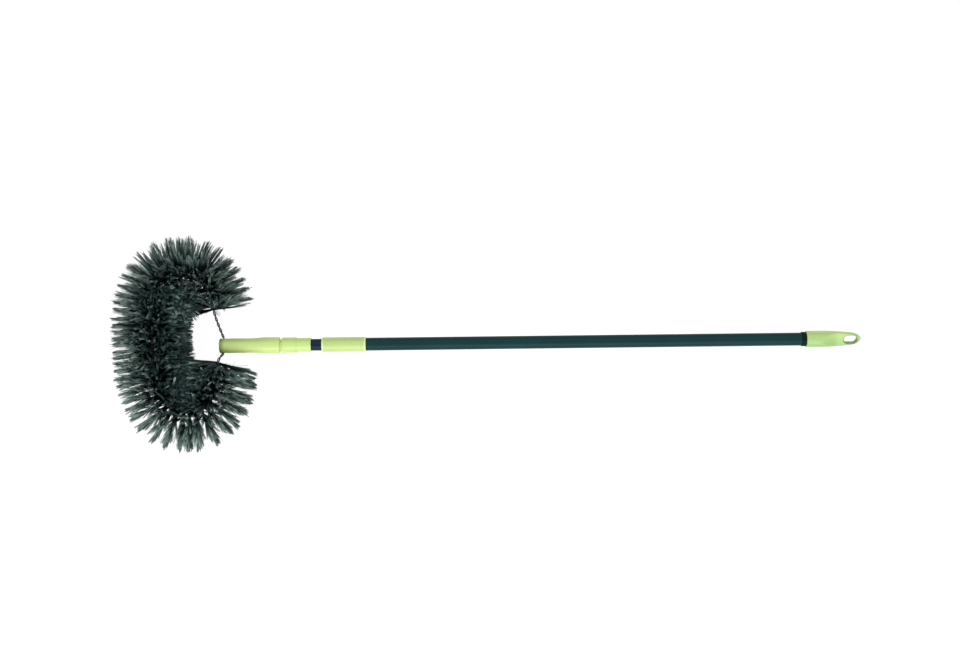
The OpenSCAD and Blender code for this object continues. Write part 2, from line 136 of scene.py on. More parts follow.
def grid_faces(rows, columns, wrap_rows=False, wrap_columns=True):
    """Corner (i, j) is number i * columns + j; each face takes it, its neighbour in j, the next row's two, in turn."""
    i, j = np.meshgrid(np.arange(rows if wrap_rows else rows - 1),
                       np.arange(columns if wrap_columns else columns - 1), indexing="ij")
    a, b = i * columns + j, i * columns + (j + 1) % columns
    c, d = ((i + 1) % rows) * columns + (j + 1) % columns, ((i + 1) % rows) * columns + j
    return np.stack([a, b, c, d], -1).reshape(-1, 4)


print("a grid of 3 by 4 points has", len(grid_faces(3, 4)), "faces")

# %% [markdown]
# ## Turned surfaces
# Most pieces of the pole are round, so one outline of stations along X and radii gives a whole piece. Its corners
# become arcs first, because no moulded or cut edge is quite sharp. A surface that ends on the axis gets a fan of
# triangles round a pole.

# %% Outlines and turned surfaces
def rounded(corners, steps=6):
    """An outline of straight lines whose corner [x, r, radius] becomes an arc that touches both its lines.
    The arc starts radius / tan(half the angle) before the corner, and turns about the point where both normals meet.
    One more point on each line, close to the arc, keeps the shading of the straight parts flat."""
    corners = np.array(corners, float)
    p, size = corners[:, :2], corners[:, 2]
    out = []
    for k in range(len(p)):
        if size[k] <= 0:
            out.append(p[k:k + 1])
            continue
        before, after = p[k - 1] - p[k], p[(k + 1) % len(p)] - p[k]
        before, after = before / np.linalg.norm(before), after / np.linalg.norm(after)
        half = math.acos(np.clip(before @ after, -1, 1)) / 2
        middle = (before + after) / np.linalg.norm(before + after)
        centre = p[k] + middle * size[k] / math.sin(half)
        first = p[k] + before * size[k] / math.tan(half)
        last = p[k] + after * size[k] / math.tan(half)
        w = np.linspace(0, 1, steps + 1)[:, None]
        u, v = (first - centre) / size[k], (last - centre) / size[k]
        angle = math.acos(np.clip(u @ v, -1, 1))
        arc = (np.sin((1 - w) * angle) * u + np.sin(w * angle) * v) / math.sin(angle)
        support = min(0.25, size[k] * 0.3)
        out += [(first + before * support)[None], centre + arc * size[k], (last + after * support)[None]]
    return np.concatenate(out)


def turned(name, outline, around=128, closed=True):
    """Turns an outline of (x, radius) round the X axis: a point goes to (x, radius cos a, radius sin a).
    A closed outline wraps to its start, as for a pipe; an open one starts and ends in a pole on the axis."""
    outline = np.asarray(outline, float)
    a = np.linspace(0, 2 * math.pi, around, endpoint=False)
    x, r = outline[:, 0, None], outline[:, 1, None]
    points = np.stack([x + 0 * a, r * np.cos(a), r * np.sin(a)], -1)
    return skinned(name, points, closed)


def skinned(name, points, closed):
    """A closed skin over rows of points round the X axis, with its rows wrapped, or with a pole at each end."""
    rows, around = points.shape[:2]
    flat = points.reshape(-1, 3)
    faces = [grid_faces(rows, around, wrap_rows=closed)]
    if not closed:
        j = np.arange(around)
        following = (j + 1) % around
        start, end = len(flat), len(flat) + 1
        flat = np.concatenate([flat, points[0].mean(0)[None], points[-1].mean(0)[None]])
        last = (rows - 1) * around
        faces += [np.stack([following, j, start + 0 * j], -1), np.stack([last + j, last + following, end + 0 * j], -1)]
    return make_mesh(name, flat, faces)


print("a corner of radius 2 becomes", len(rounded([(0, 0, 0), (9, 0, 2), (9, 9, 0)])) - 2, "points")

# %% [markdown]
# ## Colours and materials
# Colours are picked as sRGB hex values, because that is how a colour looks on a screen, and one function turns
# them into the linear light that the renderer adds up. One small helper adds a node with its settings and links.

# %% Material helpers
def linear(hex_colour):
    """A channel c from 0 to 1 becomes c / 12.92 up to 0.04045, and ((c + 0.055) / 1.055) to the power 2.4 above."""
    c = np.array([int(hex_colour[i:i + 2], 16) for i in (1, 3, 5)]) / 255
    return (*np.where(c <= 0.04045, c / 12.92, ((c + 0.055) / 1.055) ** 2.4).tolist(), 1.0)


def add_node(tree, kind, values=None, links=None):
    """Adds one node: values are its settings or the constants on its sockets, links are the outputs that feed it."""
    node = tree.nodes.new(kind)
    for key, value in (values or {}).items():
        if isinstance(key, int) or key in node.inputs:
            node.inputs[key].default_value = value
        else:
            setattr(node, key, value)
    for key, output in (links or {}).items():
        tree.links.new(output, node.inputs[key])
    return node


def new_material(name, shader_values):
    """A material with one Principled shader; returns the material, its tree, the shader and the place on the piece."""
    material = bpy.data.materials.new(name)
    material.use_nodes = True
    tree = material.node_tree
    tree.nodes.clear()
    shader = add_node(tree, "ShaderNodeBsdfPrincipled", shader_values)
    add_node(tree, "ShaderNodeOutputMaterial", links={"Surface": shader.outputs["BSDF"]})
    place = add_node(tree, "ShaderNodeTexCoord").outputs["Object"]
    return material, tree, shader, place


def two_tones(tree, factor, low, high):
    """A colour between two hex colours, by a factor from 0 to 1."""
    ramp = add_node(tree, "ShaderNodeValToRGB", links={"Fac": factor})
    ramp.color_ramp.elements[0].color = linear(low)
    ramp.color_ramp.elements[1].color = linear(high)
    return ramp


def finish_piece(piece, body, slot, material, *nodes):
    """Gives a finished piece its material and its body, and hides the solids that it stands for. The slot is not used.
    """
    piece.data.materials.clear()
    piece.data.materials.append(material)
    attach(piece, body)
    if nodes:
        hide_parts(*nodes)
    print(piece.name, len(piece.data.vertices), "points,", len(piece.data.polygons), "faces")
    return piece


print("lime plastic is linear", [round(c, 3) for c in linear("#cfe698")])

# %% [markdown]
# ## Coated steel
# Both tubes are welded from thin steel strip and coated: the outer one in a dark green stove enamel, the inner one
# in a blue-black one. Enamel flows out almost level, so the eye sees a soft gloss with a faint waviness called
# orange peel, about 1.5 mm from crest to crest. The inner tube slides, which draws fine lines along it.

# %% Coated steel
BLOTCH, PEEL, ENAMEL_SPECULAR = 0.06, 0.0015, 0.13


def enamelled_steel(name, low, high, roughness, line_depth):
    """Two close tones in blotches of 60 mm, a waviness of 1.5 mm, and lines along X whose depth is line_depth."""
    material, tree, shader, place = new_material(name, {"Roughness": roughness, "IOR": 1.45,
                                                        "Specular IOR Level": ENAMEL_SPECULAR})
    blotch = add_node(tree, "ShaderNodeTexNoise", {"Scale": 1 / BLOTCH, "Detail": 3.0}, {"Vector": place})
    tone = two_tones(tree, blotch.outputs["Fac"], low, high)
    tree.links.new(tone.outputs["Color"], shader.inputs["Base Color"])
    peel = add_node(tree, "ShaderNodeTexNoise", {"Scale": 1 / PEEL, "Detail": 1.0}, {"Vector": place})
    stretched = add_node(tree, "ShaderNodeMapping", {"Scale": (4.0, 900.0, 900.0)}, {"Vector": place})
    lines = add_node(tree, "ShaderNodeTexNoise", {"Scale": 1.0, "Detail": 2.0},
                     {"Vector": stretched.outputs["Vector"]})
    height = add_node(tree, "ShaderNodeMix", {0: line_depth}, {2: peel.outputs["Fac"], 3: lines.outputs["Fac"]})
    bump = add_node(tree, "ShaderNodeBump", {"Strength": 0.25, "Distance": 0.0001}, {"Height": height.outputs[0]})
    tree.links.new(bump.outputs["Normal"], shader.inputs["Normal"])
    rough = add_node(tree, "ShaderNodeMapRange", {"To Min": roughness - 0.05, "To Max": roughness + 0.08},
                     {"Value": lines.outputs["Fac"]})
    tree.links.new(rough.outputs["Result"], shader.inputs["Roughness"])
    return material


green_enamel = enamelled_steel("green_stove_enamel_on_steel", "#0a2f31", "#103a3c", 0.42, 0.2)
blue_enamel = enamelled_steel("blue_black_enamel_on_steel", "#0a2030", "#102a3b", 0.36, 0.7)
print("two enamels")

# %% [markdown]
# The tubes could be cylinders with a Solidify modifier. A closed outline turned round the axis is as short, gives
# the bore and the rolled edges at the ends in one go, and keeps the wall at its real half millimetre.

# %% The two tubes
def pipe_outline(x0, x1, outside, bore, edge=0.15):
    """Four corners of a pipe's wall, from the outside at x0, along the outside to x1 and back along the bore."""
    return rounded([(x0, outside / 2, edge), (x1, outside / 2, edge), (x1, bore / 2, edge), (x0, bore / 2, edge)][::-1],
                   steps=3)


def stations(outline, step):
    """Adds points to long straight stretches of a closed outline, so that no stretch is longer than step."""
    ends = np.roll(outline, -1, axis=0)
    counts = np.maximum(1, np.ceil(np.linalg.norm(ends - outline, axis=1) / step).astype(int))
    starts = np.repeat(np.arange(len(outline)), counts)
    share = (np.arange(counts.sum()) - np.repeat(np.cumsum(counts) - counts, counts)) / counts[starts]
    return outline[starts] + (ends - outline)[starts] * share[:, None]


outer_tube = turned("outer_tube_enamelled", stations(pipe_outline(MOUTH_X, CAP_X, OUTER_D, OUTER_BORE), 60.0))
finish_piece(outer_tube, "handle", "tube_coat", green_enamel, "outer_tube")
inner_tube = turned("inner_tube_enamelled", stations(pipe_outline(INNER_X, INNER_END_X, INNER_D, INNER_BORE), 60.0))
finish_piece(inner_tube, "inner_pole", "inner_coat", blue_enamel, "inner_tube")

# %% [markdown]
# ## Lime plastic
# Collar, adaptor, socket and cap are taken as injection moulded polypropylene. Such moulds are often spark eroded,
# which leaves a fine grain; it is drawn at 0.6 mm here, because a finer one would not show. The plastic lets a
# little light in, so its shadows stay green, and the melt leaves flow marks, which are faint clouds along a part.

# %% Polypropylene
def blend_to(tree, colour, share, tone):
    """Mixes a hex tone into a colour by a share from 0 to 1."""
    return add_node(tree, "ShaderNodeMix", {"data_type": "RGBA", 7: linear(tone)}, {0: share, 6: colour}).outputs[2]


GRAIN = 0.0006


def polypropylene(name, low, high, roughness=0.42, painted_shade_from=None, painted_shade_to=None, painted_light_shade="#000000", shine=0.5):
    """Clouds of 25 mm between two tones and a 0.6 mm grain; between two stations on X a third tone, a painted shade,
    takes over.
    Returns the material, its tree, its shader, the place on the piece and the colour, for further tones."""
    material, tree, shader, place = new_material(name, {
        "Roughness": roughness, "IOR": 1.49, "Specular IOR Level": shine, "Subsurface Weight": 0.12,
        "Subsurface Scale": 0.002, "Subsurface Radius": (0.9, 1.0, 0.4)})
    flow = add_node(tree, "ShaderNodeMapping", {"Scale": (14.0, 40.0, 40.0)}, {"Vector": place})
    cloud = add_node(tree, "ShaderNodeTexNoise", {"Scale": 1.0, "Detail": 3.0}, {"Vector": flow.outputs["Vector"]})
    colour = two_tones(tree, cloud.outputs["Fac"], low, high).outputs["Color"]
    if painted_shade_from is not None:
        along = add_node(tree, "ShaderNodeSeparateXYZ", links={"Vector": place}).outputs["X"]
        share = add_node(tree, "ShaderNodeMapRange", {"From Min": painted_shade_from * MM, "From Max": painted_shade_to * MM},
                         {"Value": along})
        colour = blend_to(tree, colour, share.outputs["Result"], painted_light_shade)
    tree.links.new(colour, shader.inputs["Base Color"])
    grain = add_node(tree, "ShaderNodeTexNoise", {"Scale": 1 / GRAIN, "Detail": 2.0}, {"Vector": place})
    bump = add_node(tree, "ShaderNodeBump", {"Strength": 0.35, "Distance": 0.00006}, {"Height": grain.outputs["Fac"]})
    tree.links.new(bump.outputs["Normal"], shader.inputs["Normal"])
    return material, tree, shader, place, colour


lime = polypropylene("lime_polypropylene_moulded", "#c3dd84", "#cfe892")[0]
# The socket's nose turns darker olive over its last 9 mm: painted shade round the place where the wires leave it.
ferrule_lime = polypropylene("ferrule_polypropylene_moulded", "#c7e088", "#cfe691", 0.4,
                             NOSE_X + 9, NOSE_X + 2, "#8ba04c")[0]
black_plastic = polypropylene("black_polypropylene_moulded", "#011a14", "#03221b", 0.5, shine=0.08)[0]
print("three plastics")

# %% [markdown]
# Two pieces have more tones, as the photograph shows them. The collar is paler on its two lips than between them.
# The cap is painted yellower towards its far side, painted light and shade across it, and darker round its eye, painted
# shade in the eye's hollow, by the distance in the tab's plane from the line between the centres of the slot's round
# ends.

# %% Collar and cap plastics
collar_lime, tree, shader, place, colour = polypropylene("collar_polypropylene_moulded", "#b9d380", "#c5dd8c")
LIP_WIDTH, SOFT_EDGE, EYE_SHADE_WIDTH, EYE_SHADE_FULL = 3.2, 0.6, 2.6, 0.4
middle, half_panel = (LIP_X + COLLAR_L / 2) * MM, (COLLAR_L / 2 - LIP_WIDTH) * MM
along = add_node(tree, "ShaderNodeSeparateXYZ", links={"Vector": place}).outputs["X"]
off = add_node(tree, "ShaderNodeMath", {"operation": "SUBTRACT", 1: middle}, {0: along})
off = add_node(tree, "ShaderNodeMath", {"operation": "ABSOLUTE"}, {0: off.outputs[0]})
# The lips are painted paler than the middle: a painted highlight along both ends of the collar.
painted_lip_highlight = add_node(tree, "ShaderNodeMapRange", {"From Min": half_panel, "From Max": half_panel + SOFT_EDGE * MM},
                {"Value": off.outputs[0]})
tree.links.new(blend_to(tree, colour, painted_lip_highlight.outputs["Result"], "#dcf4a8"), shader.inputs["Base Color"])

cap_lime, tree, shader, place, colour = polypropylene("cap_polypropylene_moulded", "#93bd77", "#9fc57f", 0.38)
across = add_node(tree, "ShaderNodeSeparateXYZ", links={"Vector": place}).outputs["Y"]
# One side of the cap is painted paler and yellower than the other: painted light and shade across it.
painted_side_light = add_node(tree, "ShaderNodeMapRange", {"From Min": -CAP_D / 2 * MM, "From Max": CAP_D / 2 * MM},
                  {"Value": across})
colour = blend_to(tree, colour, painted_side_light.outputs["Result"], "#c3dd88")
level = add_node(tree, "ShaderNodeMapping", {"Rotation": (-TAB_ROLL, 0, 0)}, {"Vector": place}).outputs["Vector"]
from_slot = level
for step in ({"operation": "ABSOLUTE"}, {"operation": "SUBTRACT", 1: ((EYE_L - EYE_W) / 2 * MM, 0, 1)},
             {"operation": "MAXIMUM", 1: (0, 0, 0)}):
    from_slot = add_node(tree, "ShaderNodeVectorMath", step, {0: from_slot}).outputs[0]
from_slot = add_node(tree, "ShaderNodeVectorMath", {"operation": "LENGTH"}, {0: from_slot}).outputs["Value"]
# Painted shade round the eye: the tab turns olive towards the slot's edge, where the hollow lies in shade.
painted_eye_shade = add_node(tree, "ShaderNodeMapRange", {
    "From Min": (EYE_W / 2 + EYE_SHADE_WIDTH) * MM, "From Max": (EYE_W / 2 + EYE_SHADE_FULL) * MM, "To Max": 0.9},
    {"Value": from_slot})
tree.links.new(blend_to(tree, colour, painted_eye_shade.outputs["Result"], "#7f9350"), shader.inputs["Base Color"])
print("two more plastics")

# %% [markdown]
# ## Collar and end ring
# The collar is pushed over the outer tube's mouth, and its lip guides the inner tube. Its outline has eight
# corners: the outside, the lip, and the step in the bore where the tube's end seats. Real moulded edges are
# rounded, so each corner of the outline is an arc. The trim ring at the other end is rounded towards the cap.

# %% Collar and ring
collar = turned("mouth_collar_moulded", stations(rounded([
    (LIP_X, COLLAR_D / 2, 1.0), (LIP_X, OUTER_BORE / 2, 0.3), (MOUTH_X, OUTER_BORE / 2, 0.0),
    (MOUTH_X, OUTER_D / 2 + PUSH_GAP, 0.0), (LIP_X + COLLAR_L, OUTER_D / 2 + PUSH_GAP, 0.3),
    (LIP_X + COLLAR_L, COLLAR_D / 2, 0.9)]), 25.0))
finish_piece(collar, "handle", "lime_plastic", collar_lime, "mouth_collar")

ring = turned("tube_end_ring_moulded", rounded([
    (CAP_X - RING_W, RING_D / 2, 0.6), (CAP_X - RING_W, OUTER_D / 2 + PUSH_GAP, 0.2),
    (CAP_X, OUTER_D / 2 + PUSH_GAP, 0.1), (CAP_X, RING_D / 2, 1.1)], steps=8))
finish_piece(ring, "handle", "black_plastic", black_plastic, "tube_end_ring")

# %% [markdown]
# ## The thread adaptor
# A sleeve on the inner tube's end, a foot, and a coarse male thread like that of many brush handles. The thread is
# one turn in 5.08 mm, with rounded crests. It could be cut with a screw modifier, but here the radius itself is a
# function of the angle and the place along the pole: the groove's phase is x / pitch minus the share of a turn.

# %% Thread adaptor
THREAD_DEPTH, FADE_IN, FADE_OUT, FADE_END, THREAD_STATIONS = 1.3, 3.0, 4.0, 2.0, 97
ADAPTOR_BORE_R = 7.0


def thread_depth(x, a):
    """Depth of the groove: 1.3 mm times the square of the sine of half a turn times the phase x / pitch - a / turn,
    so that crests are broad and grooves round; it fades in over 3 mm at the tip and out over 4 mm at the foot."""
    phase = x / THREAD_PITCH - a / (2 * math.pi)
    fade = np.clip((x - THREAD_X) / FADE_IN, 0, 1) * np.clip((SEAM_X - FADE_END - x) / FADE_OUT, 0, 1)
    return THREAD_DEPTH * np.sin(math.pi * phase) ** 2 * fade


thread_x = np.linspace(THREAD_X + 1.5, SEAM_X, THREAD_STATIONS)
outside = np.concatenate([
    rounded([(ADAPTOR_X, INNER_D / 2 + PUSH_GAP, 0.2), (ADAPTOR_X, ADAPTOR_D / 2, 0.8),
             (SEAM_X + FOOT_L, ADAPTOR_D / 2, 0.8), (SEAM_X + FOOT_L - 1.6, FOOT_D / 2, 0.8),
             (SEAM_X, FOOT_D / 2, 0.8)])[:-1],
    np.stack([thread_x[::-1], np.full(THREAD_STATIONS, THREAD_D / 2)], -1), [[THREAD_X, THREAD_D / 2 - 1.5]],
    [[THREAD_X, ADAPTOR_BORE_R], [THREAD_X + 4, ADAPTOR_BORE_R], [INNER_X, ADAPTOR_BORE_R],
     [INNER_X, INNER_D / 2 + PUSH_GAP]]])
angle = np.linspace(0, 2 * math.pi, 128, endpoint=False)
along, radius = outside[:, 0, None], outside[:, 1, None]
threaded = (np.abs(radius - THREAD_D / 2) < 0.01) & (along < SEAM_X)
grooved = radius - np.where(threaded, thread_depth(along, angle), 0.0)
adaptor = skinned("thread_adaptor_moulded", np.stack(
    [along + 0 * angle, grooved * np.cos(angle), grooved * np.sin(angle)], -1)[::-1], closed=True)
finish_piece(adaptor, "inner_pole", "lime_plastic", lime, "thread_adaptor")

# %% [markdown]
# ## The route of the wires
# Both wires follow one line: out of the socket on a straight stem, round a bend, along a bare arm, round the open
# loop, and back the same way. The arm is a cubic curve that leaves the bend and meets the loop in their own
# directions. The loop is a rounded oblong that leans a little. The line is measured once, and every wire and
# bristle then takes its place from the distance s along it.

# %% Route
LOOP_A, LOOP_B, LOOP_SHIFT, SQUARE, LEAN = 55.4, 116.0, 3.8, 2.6, -0.04
LOOP_BACK, EXIT_BACK, STEM_L, STEM_Y, STEM_BEND, ARM_PULL = 59.8, 17.0, 40.0, 3.8, 10.0, 0.9
LOOP_X, BEND_X = NOSE_X - LOOP_BACK, NOSE_X + EXIT_BACK
STEM_END = BEND_X + STEM_L
WIRE_R, LAY, BARE_GAP, LAYER, GAP_RAMP = 1.1, 20.0, 0.36, 1.2, 8.0


def loop_at(t):
    """Half width times the cosine and half height times the sine of t, both raised to 2 / squareness with their
    signs kept; the lean shifts a point along the pole by its share of the height."""
    t = np.asarray(t, float)
    x, y = (size * np.sign(f) * np.abs(f) ** (2 / SQUARE) for size, f in ((LOOP_A, np.cos(t)), (LOOP_B, np.sin(t))))
    return np.stack([LOOP_X + x + LEAN * y, LOOP_SHIFT + y], -1)


def arm(turn, start, beyond):
    """The stem's end, an arc of radius 10 mm, and a cubic from its end to the loop's start; its two tangents are 0.9
    times the distance between the ends. turn is the arc's angle, and beyond a point a little further on the loop."""
    a = np.linspace(0, turn, 24)
    bend = np.stack([BEND_X - STEM_BEND * np.sin(a), STEM_Y + STEM_BEND * (1 - np.cos(a))], -1)
    reach = ARM_PULL * np.linalg.norm(start - bend[-1])
    leave = reach * np.array([-np.cos(turn), np.sin(turn)])
    arrive = (beyond - start) * reach / np.linalg.norm(beyond - start)
    u = np.linspace(0, 1, 60)[1:-1, None]
    curve = (bend[-1] * (2 * u**3 - 3 * u**2 + 1) + leave * (u**3 - 2 * u**2 + u)
             + start * (3 * u**2 - 2 * u**3) + arrive * (u**3 - u**2))
    return np.concatenate([[[STEM_END, STEM_Y]], bend, curve])


EXIT_UP, EXIT_DOWN = math.radians(68), math.radians(60)
JOIN_UP, JOIN_DOWN, ONE_DEGREE = math.radians(23.6), math.radians(-10.7), math.radians(1)
FLIP = np.array([1, -1])
upper = arm(EXIT_UP, loop_at(JOIN_UP), loop_at(JOIN_UP + ONE_DEGREE))
lower = arm(EXIT_DOWN, loop_at(JOIN_DOWN) * FLIP, loop_at(JOIN_DOWN - ONE_DEGREE) * FLIP) * FLIP
loop = loop_at(np.linspace(JOIN_UP, 2 * math.pi + JOIN_DOWN, 1600))
route = np.concatenate([upper, loop, lower[::-1]])
route_s = np.concatenate([[0], np.cumsum(np.linalg.norm(np.diff(route, axis=0), axis=1))])
ROUTE_L, BRISTLE_FROM = route_s[-1], route_s[len(upper)]
BRISTLE_TO = route_s[len(upper) + len(loop) - 1]
UP = np.array([0.0, 0.0, 1.0])


def core_at(s):
    """The point on the route at distance s, read between the measured points."""
    return np.stack([np.interp(s, route_s, route[:, 0]), np.interp(s, route_s, route[:, 1]), 0 * s], -1)


def core_frame(s):
    """Direction along the route at s, from 1 mm before to 1 mm after, and the direction to the loop's outside."""
    step = core_at(np.minimum(s + 1, ROUTE_L)) - core_at(np.maximum(s - 1, 0))
    step /= np.linalg.norm(step, axis=-1, keepdims=True)
    return step, np.stack([step[..., 1], -step[..., 0], 0 * s], -1)


print(f"route {ROUTE_L:.1f} mm, bristles from {BRISTLE_FROM:.1f} to {BRISTLE_TO:.1f} mm")

# %% [markdown]
# ## The twisted wires
# Two drawn steel wires of 2.2 mm, twisted once round each other in 20 mm, hold the bristles between them. Drawing
# leaves a dull grey skin with small spots. Each wire is a tube whose middle turns round the route;
# where the core is bare the wires lie close, and where they hold bristles they stand 1.2 mm apart.

# %% Drawn steel wire
wire_steel, tree, shader, place = new_material("drawn_steel_wire", {"Metallic": 1.0, "Roughness": 0.42})
spots = add_node(tree, "ShaderNodeTexNoise", {"Scale": 1 / 0.004, "Detail": 4.0}, {"Vector": place})
tone = two_tones(tree, spots.outputs["Fac"], "#343f43", "#59666b")
tree.links.new(tone.outputs["Color"], shader.inputs["Base Color"])
bump = add_node(tree, "ShaderNodeBump", {"Strength": 0.3, "Distance": 0.00005}, {"Height": spots.outputs["Fac"]})
tree.links.new(bump.outputs["Normal"], shader.inputs["Normal"])


def wire_tube(name, phase, sides=14, per_lay=24):
    """The wire's middle is the route plus apart times (cos a out + sin a up), with a = s / lay turns plus the phase.
    A ring of points at the wire's radius stands square to that line at each station."""
    s = np.linspace(0, ROUTE_L, int(ROUTE_L / LAY * per_lay) + 1)
    gap = np.interp(s, [BRISTLE_FROM - GAP_RAMP, BRISTLE_FROM, BRISTLE_TO, BRISTLE_TO + GAP_RAMP],
                    [BARE_GAP, LAYER, LAYER, BARE_GAP])
    a = 2 * math.pi * s / LAY + phase
    out = core_frame(s)[1]
    middle = core_at(s) + (gap / 2 + WIRE_R)[:, None] * (np.cos(a)[:, None] * out + np.sin(a)[:, None] * UP)
    ahead = np.gradient(middle, axis=0)
    ahead /= np.linalg.norm(ahead, axis=1, keepdims=True)
    u = np.cross(ahead, UP)
    u /= np.linalg.norm(u, axis=1, keepdims=True)
    v = np.cross(u, ahead)
    k = np.linspace(0, 2 * math.pi, sides, endpoint=False)[None, :, None]
    rings = middle[:, None] + WIRE_R * (np.cos(k) * u[:, None] + np.sin(k) * v[:, None])
    return skinned(name, rings, closed=False)


for letter, phase in (("a", 0.0), ("b", math.pi)):
    wire = wire_tube("twisted_wire_" + letter, phase)
    finish_piece(wire, "brush_head", "wire_steel", wire_steel, "wire_strand_" + letter)

# %% [markdown]
# ## The bristles
# Plastic filaments of about two thirds of a millimetre are laid between the wires in small bunches before they are
# twisted. The twist turns each bunch a little further than the last, so the bunches stand all round the core like
# a spiral stair, and from above those that lie flat make the dark rays of the outline. A hair system could grow
# them, but the export needs real meshes, so each filament is a three-sided rod of four lengths that thins to its
# tip. All filaments of a section are one array operation: bunch, end, filament, ring and corner are its axes.
#
# The fibre is extruded from a black-green plastic, and its skin is dark and dull. Its colour grows a little paler
# towards the tip, and much paler, as painted light, where an end stands out of the mass in the light; ends deep in the
# mass, in its shade, keep the dark tone as painted shade. Each filament carries how far a point is along it, and its
# own share of painted light.

# %% Bristle fibre
bristle_fibre, tree, shader, place = new_material("polypropylene_bristle_extruded", {
    "Roughness": 0.5, "IOR": 1.5, "Specular IOR Level": 0.3})
along_it = add_node(tree, "ShaderNodeAttribute", {"attribute_name": "along"})
painted_tip_light = add_node(tree, "ShaderNodeAttribute", {"attribute_name": "painted_light_shade"})
# The dark ramp is the fibre's colour; the pale one paints light onto tips that stand in the light, and the painted
# light and shade attribute mixes the two.
dark = two_tones(tree, along_it.outputs["Fac"], "#041e21", "#143836")
dark.color_ramp.elements[0].position = 0.6
pale = two_tones(tree, along_it.outputs["Fac"], "#0e3436", "#a8c2b8")
pale.color_ramp.elements[0].position = 0.5
mixed = add_node(tree, "ShaderNodeMix", {"data_type": "RGBA"},
                 {0: painted_tip_light.outputs["Fac"], 6: dark.outputs["Color"], 7: pale.outputs["Color"]})
tree.links.new(mixed.outputs[2], shader.inputs["Base Color"])
print("bristle fibre ready")

# %% [markdown]
# The numbers below set how the bunches stand, in millimetres along the core and in shares of their length. Near each
# arm the outer and the inner ends tilt along the core, each by its own share and fade. The inner ends are longer at
# the loop's two far corners. A clump is a ray of tips that draw together, and a parting is a gap between two rays.

# %% Bristle numbers
BRISTLE_L, BUNCHES, SECTIONS = 69.7, 2496, 8
PER_BUNCH, FILAMENT_R, BUNCH_R, RINGS, SIDES = 9, 0.33, 0.9, 5, 3
LEVEL = BRISTLE_L - 0.5
UPPER_TILT, UPPER_FADE = np.array([-0.12, 0.05]), np.array([30.0, 16.0])
LOWER_TILT, LOWER_FADE = np.array([-0.28, -0.1]), np.array([40.0, 16.0])
CORNER_REACH, CORNER_AT, CORNER_WIDTH = 0.24, 0.75, 0.3
CLUMP, CLUMP_REACH, SPLAY_UP, SPLAY_IN = 0.5, 3.0, 0.14, 0.05
PARTINGS = np.array([[16, 3], [28, 2.5], [38, 2], [71, 3], [87, 1.5], [181, 3], [231, 2], [326, 2], [335, 3],
                     [344, 3], [396, 3], [407, 2], [424, 4], [437, 4.5], [455, 5]])
PARTING_REACH = 7.0
TAPER = [[0, 90, 125, 160, 300, 488], [0.22, 0.25, 0.36, 0.2, 0.1, 0.07]]
INNER_TAPER, TURN_SPREAD, REACH_MEAN, REACH_SPREAD, REACH_MOST = 0.04, 5.5, 0.97, 0.03, 1.03
START_LONGER, START_FADE, END_MARGIN, SPLAY_FLAT = 0.08, 25, 12, 0.015
GOLDEN_ANGLE, PLACE_SPREAD, STRAY = 2.39996, 0.12, 0.8
STRAY_SIZES, STRAY_SHARES = [0.3, 1.0, 3.0], [0.6, 0.32, 0.08]
TIP_CLOSER, SIDE_WIDER = 0.5, 1.2
THICKNESS = FILAMENT_R * np.array([1.4, 1.4, 1.25, 1.0, 0.75])[:, None, None]
# How pale a tip is painted, as painted light and shade: darkest in the middle of a ray, and mostly dark for upright and
# inward ends, which lie in the mass's shade.
RAY_HALF, LEAST_PALE, SHADE_SPREAD, INNER_POWER, OTHER_POWER = 2.5, 0.4, 0.12, 6, 3
rng = np.random.default_rng(12)
print(BUNCHES, "bunches with two ends of", PER_BUNCH, "filaments each")


# %% Bristles
def aim_of(s):
    """The place on the route whose normal the tip of a bunch at s leans to. A ray lies in the middle of each half lay,
    where the twist brings the bunches flat, and a parting between two rays. Tips draw together by a share of their
    distance from their ray that fades with exp(-(distance / clump reach) squared). They lean away from the partings,
    where use has combed the bristles apart, by the parting's width times exp(-(distance / parting reach) squared)."""
    from_ray = s - (np.floor(s / (LAY / 2)) + 0.5) * (LAY / 2)
    between = np.round((BRISTLE_FROM + PARTINGS[:, 0]) / (LAY / 2)) * (LAY / 2)
    beside = s[:, None] - between
    apart = (PARTINGS[:, 1] * np.sign(beside) * np.exp(-(beside / PARTING_REACH) ** 2)).sum(1)
    drawn = CLUMP * from_ray * np.exp(-(from_ray / CLUMP_REACH) ** 2)
    return np.clip(s - drawn + apart, BRISTLE_FROM, BRISTLE_TO)


